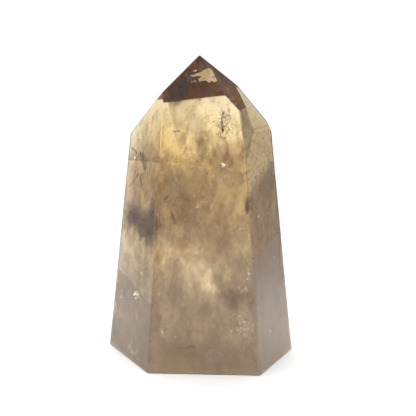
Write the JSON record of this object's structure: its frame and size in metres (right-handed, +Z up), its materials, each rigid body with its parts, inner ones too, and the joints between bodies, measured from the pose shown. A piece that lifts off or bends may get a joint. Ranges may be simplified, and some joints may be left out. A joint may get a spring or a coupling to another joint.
{
  "type": "citrine crystal point",
  "caption": "Free-standing polished citrine point: a tapering six-sided prism with a faceted, slightly off-centre tip, cut flat at the base so that it stands upright.",
  "frame": {"origin": "middle of the flat base, on the surface that the crystal stands on", "axes": "+Z up towards the tip; the broad front face looks along -Y; +X is to the right seen from the front"},
  "size_m": [0.0577, 0.0504, 0.0947],
  "materials": {
    "citrine": "polished"
  },
  "bodies": {
    "root": {"citrine_crystal": "citrine"}
  },
  "joints": []
}
